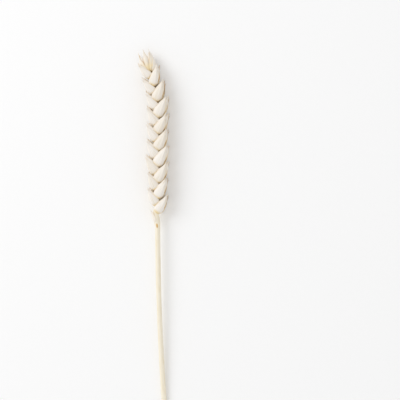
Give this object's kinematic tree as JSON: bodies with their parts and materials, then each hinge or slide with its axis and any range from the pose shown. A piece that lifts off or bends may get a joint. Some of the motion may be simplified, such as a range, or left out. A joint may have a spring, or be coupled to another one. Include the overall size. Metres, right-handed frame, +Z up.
{
  "type": "wheat ear",
  "caption": "Bleached awnless wheat ear on its own cut straw, lying on its side, with two rows of overlapping spikelets on a zigzag rachis.",
  "frame": {"origin": "bottom centre of the bounding box of the whole ear with its straw, on the surface that it lies on", "axes": "+Y along the ear from the cut end of the straw to the tip, +X from the left row of spikelets to the right one, +Z up"},
  "size_m": [0.0162, 0.1924, 0.0098],
  "materials": {
    "straw": "dry bleached straw, satin",
    "glume": "dry bleached husk, satin",
    "floret": "dry bleached husk, matte"
  },
  "bodies": {
    "root": {"stem": "straw", "basal_scale": "glume", "spikelet_01_florets": "floret", "spikelet_01_upper_glume": "glume", "spikelet_01_lower_glume": "glume", "spikelet_02_florets": "floret", "spikelet_02_upper_glume": "glume", "spikelet_02_lower_glume": "glume", "spikelet_03_florets": "floret", "spikelet_03_upper_glume": "glume", "spikelet_03_lower_glume": "glume", "spikelet_04_florets": "floret", "spikelet_04_upper_glume": "glume", "spikelet_04_lower_glume": "glume", "spikelet_05_florets": "floret", "spikelet_05_upper_glume": "glume", "spikelet_05_lower_glume": "glume", "spikelet_06_florets": "floret", "spikelet_06_upper_glume": "glume", "spikelet_06_lower_glume": "glume", "spikelet_07_florets": "floret", "spikelet_07_upper_glume": "glume", "spikelet_07_lower_glume": "glume", "spikelet_08_florets": "floret", "spikelet_08_upper_glume": "glume", "spikelet_08_lower_glume": "glume", "spikelet_09_florets": "floret", "spikelet_09_upper_glume": "glume", "spikelet_09_lower_glume": "glume", "spikelet_10_florets": "floret", "spikelet_10_upper_glume": "glume", "spikelet_10_lower_glume": "glume", "spikelet_11_florets": "floret", "spikelet_11_upper_glume": "glume", "spikelet_11_lower_glume": "glume", "spikelet_12_florets": "floret", "spikelet_12_upper_glume": "glume", "spikelet_12_lower_glume": "glume", "spikelet_13_florets": "floret", "spikelet_13_upper_glume": "glume", "spikelet_13_lower_glume": "glume", "spikelet_14_florets": "floret", "spikelet_14_upper_glume": "glume", "spikelet_14_lower_glume": "glume", "spikelet_15_florets": "floret", "spikelet_15_upper_glume": "glume", "spikelet_15_lower_glume": "glume", "spikelet_16_florets": "floret", "spikelet_16_upper_glume": "glume", "spikelet_16_lower_glume": "glume", "spikelet_17_florets": "floret", "spikelet_17_upper_glume": "glume", "spikelet_17_lower_glume": "glume", "spikelet_18_florets": "floret", "spikelet_18_upper_glume": "glume", "spikelet_18_lower_glume": "glume", "spikelet_19_florets": "floret", "spikelet_19_upper_glume": "glume", "spikelet_19_lower_glume": "glume"}
  },
  "joints": []
}
